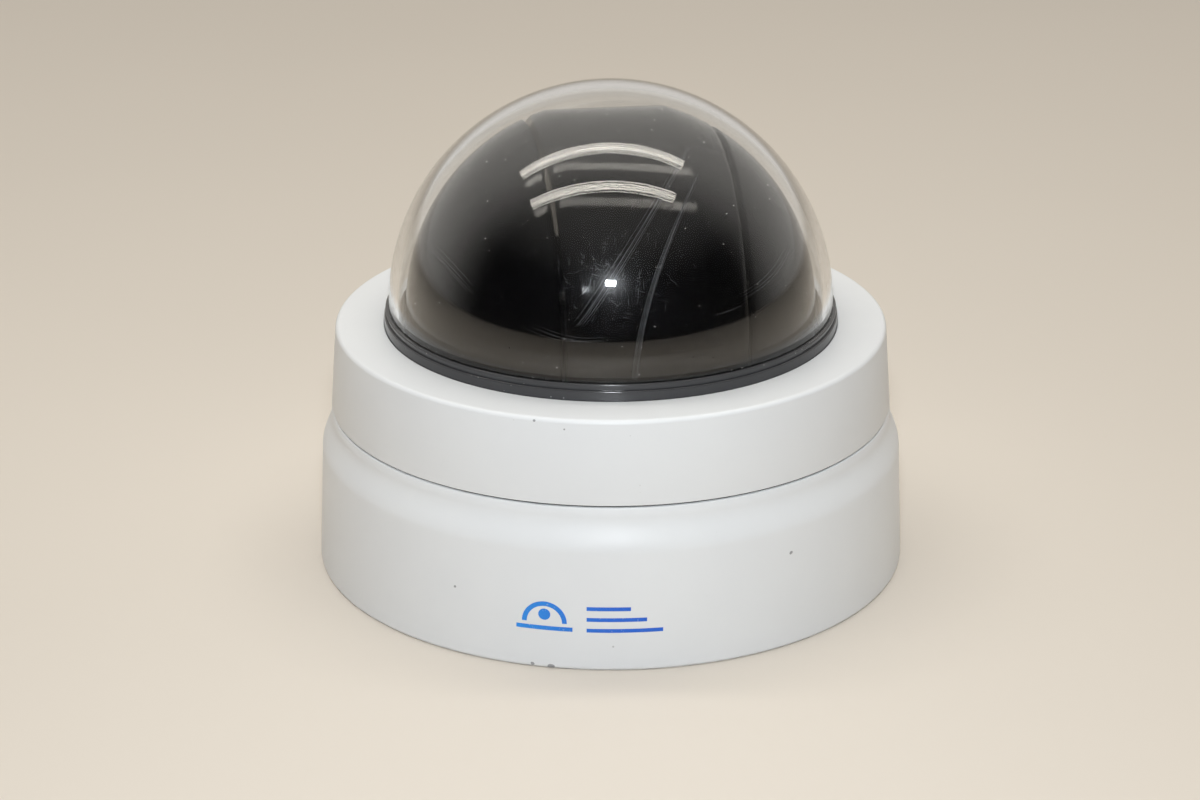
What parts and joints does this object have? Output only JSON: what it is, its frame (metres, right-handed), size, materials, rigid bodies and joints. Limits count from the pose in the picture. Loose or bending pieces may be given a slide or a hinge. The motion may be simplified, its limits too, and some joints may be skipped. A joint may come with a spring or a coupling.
{
  "type": "ptz camera",
  "caption": "Dome pan-tilt-zoom camera: round white housing, lift-off cover with a clear dome, and a black ball that pans and carries a tilting lens drum.",
  "frame": {"origin": "centre of the flat mounting face, which the camera stands on", "axes": "+Z out of the mounting face towards the dome, -Y towards the marked front, +X to the right seen from the front"},
  "size_m": [0.156, 0.156, 0.1278],
  "materials": {
    "white_shell": "satin white, fine dirt specks and small scuffs",
    "seal_rubber": "matt black rubber",
    "trim_ring": "glossy dark grey, dusty in its groove",
    "clear_dome": "clear polycarbonate, polished, lightly scratched and dusty",
    "ball_black": "glossy black",
    "black_plastic": "fine matt black",
    "plated_steel": "zinc-plated sheet",
    "bright_steel": "bright turned steel",
    "brass": "machined brass",
    "gear_nylon": "natural moulded nylon",
    "circuit_board": "green solder mask",
    "terminal_green": "green moulded plastic",
    "switch_blue": "dark blue moulded plastic",
    "capacitor_sleeve": "shrink sleeve",
    "lens_glass": "coated optical glass",
    "lens_carrier": "dark moulded plastic"
  },
  "bodies": {
    "base": {"housing_base": "white_shell", "cable_grommet": "seal_rubber", "seam_seal": "seal_rubber", "chassis_plate": "plated_steel", "chassis_screws": "bright_steel", "pan_bearing_outer": "bright_steel", "slip_ring_stator": "black_plastic", "main_board": "circuit_board", "board_screws": "bright_steel", "cable_terminals": "terminal_green", "board_sockets": "gear_nylon", "capacitors": "capacitor_sleeve", "processor_chips": "black_plastic", "address_switch_bodies": "switch_blue", "pan_motor_bracket": "plated_steel", "pan_motor_body": "plated_steel", "pan_motor_screws": "bright_steel"},
    "cover": {"cover_ring": "white_shell", "clear_dome": "clear_dome", "dome_gasket": "trim_ring", "dome_clamp_ring": "black_plastic", "clamp_screws": "bright_steel", "cover_set_screws": "bright_steel"},
    "pan_head": {"pan_gear": "gear_nylon", "pan_gear_screws": "bright_steel", "yoke": "black_plastic", "pan_bearing_inner": "bright_steel", "pan_retaining_clip": "bright_steel", "slip_ring_rotor": "brass", "side_cover_left": "ball_black", "side_cover_right": "ball_black", "side_cover_screws": "bright_steel", "tilt_bearing_outers": "bright_steel", "tilt_motor_bracket": "plated_steel", "tilt_motor_body": "plated_steel", "tilt_motor_screws": "bright_steel", "tilt_belt": "seal_rubber", "yoke_board": "circuit_board"},
    "tilt_drum": {"drum_front": "ball_black", "drum_rear": "ball_black", "drum_screws": "bright_steel", "tilt_shaft_left": "bright_steel", "tilt_shaft_right": "bright_steel", "tilt_bearing_inners": "bright_steel", "tilt_pulley": "gear_nylon", "camera_bracket": "plated_steel", "camera_body": "black_plastic", "sensor_board": "circuit_board", "lens_barrel": "black_plastic", "lens_hood": "black_plastic", "front_lens": "lens_glass"},
    "pan_drive": {"pan_motor_shaft": "bright_steel", "pan_pinion": "brass"},
    "tilt_drive": {"tilt_motor_shaft": "bright_steel", "tilt_motor_pulley": "brass"},
    "zoom_lens": {"zoom_group": "lens_carrier"},
    "focus_lens": {"focus_group": "lens_carrier"},
    "filter": {"filter_slide": "lens_carrier"},
    "dial_tens": {"address_dial_tens": "gear_nylon"},
    "dial_units": {"address_dial_units": "gear_nylon"}
  },
  "joints": [
    {"name": "cover_lift", "type": "slide", "parent": "base", "child": "cover", "axis": [0, 0, 1], "range_m": [0, 0.08]},
    {"name": "pan", "type": "hinge", "parent": "base", "child": "pan_head", "pos_m": [0, 0, 0.0686], "axis": [0, 0, 1], "continuous": true},
    {"name": "tilt", "type": "hinge", "parent": "pan_head", "child": "tilt_drum", "pos_m": [0, 0, 0.0686], "axis": [0.9848, 0.1736, 0], "range_deg": [-20, 160]},
    {"name": "pan_motor_spin", "type": "hinge", "parent": "base", "child": "pan_drive", "pos_m": [0.0551, 0, 0.0105], "axis": [0, 0, 1], "continuous": true},
    {"name": "tilt_motor_spin", "type": "hinge", "parent": "pan_head", "child": "tilt_drive", "pos_m": [0, 0, 0.042], "axis": [0.9848, 0.1736, 0], "range_deg": [-60, 480]},
    {"name": "zoom_travel", "type": "slide", "parent": "tilt_drum", "child": "zoom_lens", "axis": [-0.1632, 0.9254, 0.342], "range_m": [0, 0.013]},
    {"name": "focus_travel", "type": "slide", "parent": "tilt_drum", "child": "focus_lens", "axis": [-0.1632, 0.9254, 0.342], "range_m": [-0.001, 0.005]},
    {"name": "filter_travel", "type": "slide", "parent": "tilt_drum", "child": "filter", "axis": [0.0594, -0.3368, 0.9397], "range_m": [-0.009, 0]},
    {"name": "tens_dial_turn", "type": "hinge", "parent": "base", "child": "dial_tens", "pos_m": [-0.02815, -0.05524, 0.0226], "axis": [0, 0, 1], "continuous": true},
    {"name": "units_dial_turn", "type": "hinge", "parent": "base", "child": "dial_units", "pos_m": [-0.01709, -0.0596, 0.0226], "axis": [0, 0, 1], "continuous": true}
  ],
  "couplings": [
    {"joint": "pan_motor_spin", "follows": "pan", "ratio": -5.1111},
    {"joint": "tilt_motor_spin", "follows": "tilt", "ratio": 3}
  ]
}
